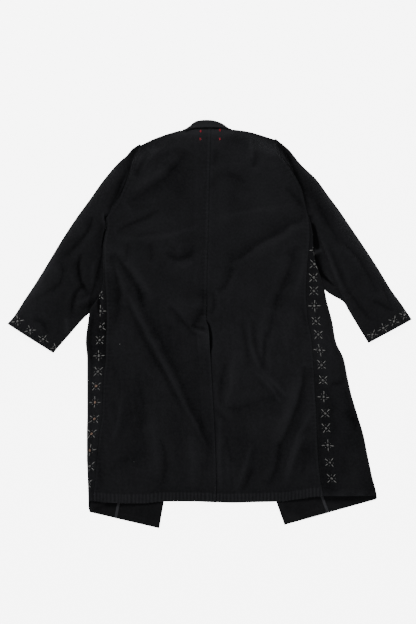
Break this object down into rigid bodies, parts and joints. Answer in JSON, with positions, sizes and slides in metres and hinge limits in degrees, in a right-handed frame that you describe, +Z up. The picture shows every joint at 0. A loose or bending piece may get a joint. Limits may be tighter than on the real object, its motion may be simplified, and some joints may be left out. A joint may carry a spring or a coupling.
{
  "type": "military coat",
  "caption": "Long black cotton military coat laid flat on its front, with wide sleeves, a turned-down collar, a back vent and starred side panels.",
  "frame": {"origin": "middle of the laid-out coat's outline, on the surface that it lies on", "axes": "+X to the coat's right as it lies face down, seen from above, +Y towards its collar, +Z up through its thickness"},
  "size_m": [1.172, 1.1792, 0.0207],
  "materials": {
    "back_left": "matt cotton twill",
    "back_right": "matt cotton twill",
    "front_left": "matt cotton twill",
    "front_right": "matt cotton twill",
    "sleeve_left": "matt cotton twill",
    "sleeve_right": "matt cotton twill",
    "collar": "matt cotton twill",
    "facing_left": "matt cotton twill",
    "facing_right": "matt cotton twill",
    "binding_left": "plain woven tape",
    "binding_right": "plain woven tape",
    "button_1": "dull black",
    "button_2": "dull black",
    "button_3": "dull black",
    "button_4": "dull black",
    "button_5": "dull black"
  },
  "bodies": {
    "root": {"back_left": "back_left", "back_right": "back_right", "front_left": "front_left", "front_right": "front_right", "sleeve_left": "sleeve_left", "sleeve_right": "sleeve_right", "collar": "collar", "facing_left": "facing_left", "facing_right": "facing_right", "binding_left": "binding_left", "binding_right": "binding_right", "button_1": "button_1", "button_2": "button_2", "button_3": "button_3", "button_4": "button_4", "button_5": "button_5"}
  },
  "joints": []
}
